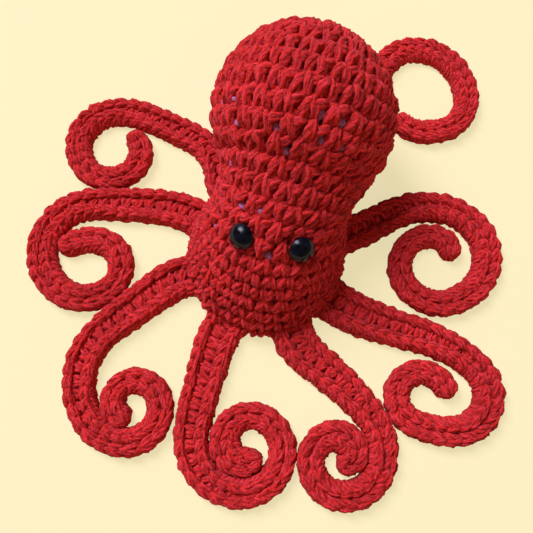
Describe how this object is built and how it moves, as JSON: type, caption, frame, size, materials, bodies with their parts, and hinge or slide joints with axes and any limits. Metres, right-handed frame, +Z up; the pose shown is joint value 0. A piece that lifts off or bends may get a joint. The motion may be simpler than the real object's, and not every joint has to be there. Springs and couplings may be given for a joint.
{
  "type": "crocheted octopus toy",
  "caption": "Stuffed crocheted octopus with a ball head laid back, two domed button eyes and flat arms that end in curls; the arms lift and the curls twist.",
  "frame": {"origin": "on the table, at the middle of the round that the arms grow from", "axes": "+Z up from the table, -Y the front that the face looks over, +Y the back where the head lies, +X to the right seen from the front"},
  "size_m": [0.1805, 0.1872, 0.0636],
  "materials": {
    "red_yarn": "soft acrylic yarn, crocheted, slightly fuzzy",
    "fibre_filling": "loose polyester fibre",
    "eye_plastic": "polished black",
    "washer_plastic": "plain moulded"
  },
  "bodies": {
    "body": {"body_shell": "red_yarn", "base_disc": "red_yarn", "stuffing": "fibre_filling", "eye_left": "eye_plastic", "eye_right": "eye_plastic", "eye_washer_left": "washer_plastic", "eye_washer_right": "washer_plastic"},
    "arm_a": {"arm_a_strap": "red_yarn"},
    "curl_a": {"arm_a_curl": "red_yarn"},
    "arm_b": {"arm_b_strap": "red_yarn"},
    "curl_b": {"arm_b_curl": "red_yarn"},
    "arm_c": {"arm_c_strap": "red_yarn"},
    "curl_c": {"arm_c_curl": "red_yarn"},
    "arm_d": {"arm_d_strap": "red_yarn"},
    "curl_d": {"arm_d_curl": "red_yarn"},
    "arm_e": {"arm_e_strap": "red_yarn"},
    "curl_e": {"arm_e_curl": "red_yarn"},
    "arm_f": {"arm_f_strap": "red_yarn"},
    "curl_f": {"arm_f_curl": "red_yarn"},
    "arm_g": {"arm_g_strap": "red_yarn"},
    "curl_g": {"arm_g_curl": "red_yarn"},
    "arm_h": {"arm_h_strap": "red_yarn"},
    "curl_h": {"arm_h_curl": "red_yarn"}
  },
  "joints": [
    {"name": "arm_a_lift", "type": "hinge", "parent": "body", "child": "arm_a", "pos_m": [-0.01565, 0.02711, 0.0025], "axis": [0.866, 0.5, 0], "range_deg": [-35, 35]},
    {"name": "arm_a_twist", "type": "hinge", "parent": "arm_a", "child": "curl_a", "pos_m": [-0.05025, 0.06145, 0.0025], "axis": [-0.9205, 0.3907, 0], "range_deg": [-60, 60]},
    {"name": "arm_b_lift", "type": "hinge", "parent": "body", "child": "arm_b", "pos_m": [-0.02654, 0.01659, 0.0025], "axis": [0.5299, 0.848, 0], "range_deg": [-35, 35]},
    {"name": "arm_b_twist", "type": "hinge", "parent": "arm_b", "child": "curl_b", "pos_m": [-0.06665, 0.02245, 0.0025], "axis": [-1, 0, 0], "range_deg": [-60, 60]},
    {"name": "arm_c_lift", "type": "hinge", "parent": "body", "child": "arm_c", "pos_m": [-0.0305, -0.00704, 0.0025], "axis": [-0.225, 0.9744, 0], "range_deg": [-35, 35]},
    {"name": "arm_c_twist", "type": "hinge", "parent": "arm_c", "child": "curl_c", "pos_m": [-0.06306, -0.05827, 0.0025], "axis": [0.5299, -0.848, 0], "range_deg": [-60, 60]},
    {"name": "arm_d_lift", "type": "hinge", "parent": "body", "child": "arm_d", "pos_m": [-0.01565, -0.02711, 0.0025], "axis": [-0.866, 0.5, 0], "range_deg": [-35, 35]},
    {"name": "arm_d_twist", "type": "hinge", "parent": "arm_d", "child": "curl_d", "pos_m": [-0.01508, -0.08186, 0.0025], "axis": [0.9063, -0.4226, 0], "range_deg": [-60, 60]},
    {"name": "arm_e_lift", "type": "hinge", "parent": "body", "child": "arm_e", "pos_m": [0.0107, -0.02941, 0.0025], "axis": [-0.9397, -0.342, 0], "range_deg": [-35, 35]},
    {"name": "arm_e_twist", "type": "hinge", "parent": "arm_e", "child": "curl_e", "pos_m": [0.03716, -0.05766, 0.0025], "axis": [-0.6018, 0.7986, 0], "range_deg": [-60, 60]},
    {"name": "arm_f_lift", "type": "hinge", "parent": "body", "child": "arm_f", "pos_m": [0.02625, -0.01705, 0.0025], "axis": [-0.5446, -0.8387, 0], "range_deg": [-35, 35]},
    {"name": "arm_f_twist", "type": "hinge", "parent": "arm_f", "child": "curl_f", "pos_m": [0.06928, -0.03504, 0.0025], "axis": [-0.8572, 0.515, 0], "range_deg": [-60, 60]},
    {"name": "arm_g_lift", "type": "hinge", "parent": "body", "child": "arm_g", "pos_m": [0.02993, 0.00915, 0.0025], "axis": [0.2924, -0.9563, 0], "range_deg": [-35, 35]},
    {"name": "arm_g_twist", "type": "hinge", "parent": "arm_g", "child": "curl_g", "pos_m": [0.05371, 0.01959, 0.0025], "axis": [-0.9397, -0.342, 0], "range_deg": [-60, 60]},
    {"name": "arm_h_lift", "type": "hinge", "parent": "body", "child": "arm_h", "pos_m": [0.02398, 0.02012, 0.0025], "axis": [0.6428, -0.766, 0], "range_deg": [-35, 0]},
    {"name": "arm_h_twist", "type": "hinge", "parent": "arm_h", "child": "curl_h", "pos_m": [0.04675, 0.07523, 0.0025], "axis": [-0.0698, -0.9976, 0], "range_deg": [-60, 60]}
  ]
}
